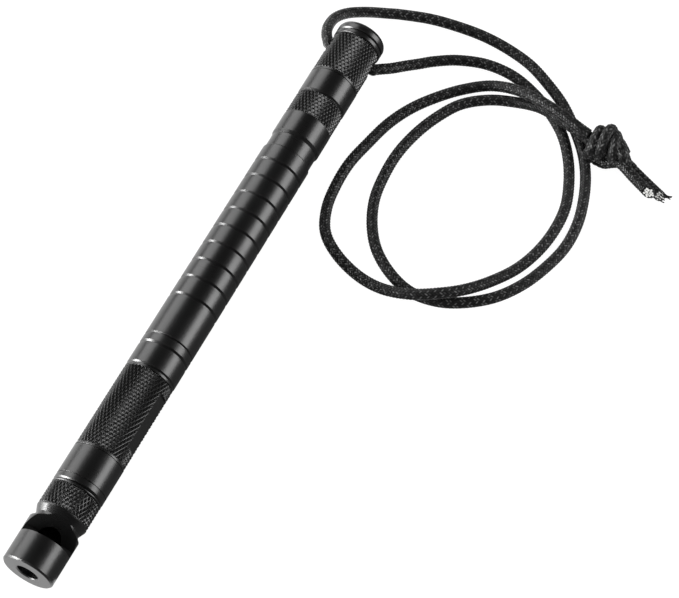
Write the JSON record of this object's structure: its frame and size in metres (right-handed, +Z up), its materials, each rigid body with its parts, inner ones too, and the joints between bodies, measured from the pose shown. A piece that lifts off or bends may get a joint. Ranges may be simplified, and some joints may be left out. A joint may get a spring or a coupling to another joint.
{
  "type": "signal whistle stick with cord lanyard",
  "caption": "Turned metal whistle stick: end-blown whistle head, hollow grip tube and tail section screwed together, with a knotted cord lanyard.",
  "frame": {"origin": "bottom centre of the rod, on the surface it lies on (the cord is not counted)", "axes": "+Y along the rod from the mouthpiece to the lanyard end, +Z up"},
  "size_m": [0.1374, 0.2565, 0.018],
  "materials": {
    "black_metal": "satin black anodised",
    "black_plastic": "matte",
    "seal_rubber": "matte",
    "black_cord": "braided nylon",
    "white_core": "loose nylon strands"
  },
  "bodies": {
    "tail": {"tail_sleeve": "black_metal", "end_plug": "black_metal", "lanyard_a": "black_cord", "lanyard_b": "black_cord", "lanyard_bridge": "black_cord", "lanyard_knot": "black_cord", "lanyard_tail_a": "black_cord", "lanyard_tail_b": "black_cord", "cord_core_a": "white_core", "cord_core_b": "white_core"},
    "tube_seal": {"tube_o_ring": "seal_rubber"},
    "tube": {"body_tube": "black_metal"},
    "head_seal": {"head_o_ring": "seal_rubber"},
    "head": {"whistle_head": "black_metal", "windway_block": "black_plastic", "chamber_plug": "black_metal"}
  },
  "joints": [
    {"name": "tube_travel", "type": "slide", "parent": "tail", "child": "tube_seal", "axis": [0, -1, 0], "range_m": [0, 0.0121]},
    {"name": "tube_turn", "type": "hinge", "parent": "tube_seal", "child": "tube", "pos_m": [0, 0.0624, 0.009], "axis": [0, -1, 0], "range_deg": [0, 2880]},
    {"name": "head_travel", "type": "slide", "parent": "tube", "child": "head_seal", "axis": [0, -1, 0], "range_m": [0, 0.0121]},
    {"name": "head_turn", "type": "hinge", "parent": "head_seal", "child": "head", "pos_m": [0, -0.0841, 0.009], "axis": [0, -1, 0], "range_deg": [0, 2880]}
  ],
  "couplings": [
    {"joint": "tube_travel", "follows": "tube_turn", "m_per_rad": 0.00023873},
    {"joint": "head_travel", "follows": "head_turn", "m_per_rad": 0.00023873}
  ]
}
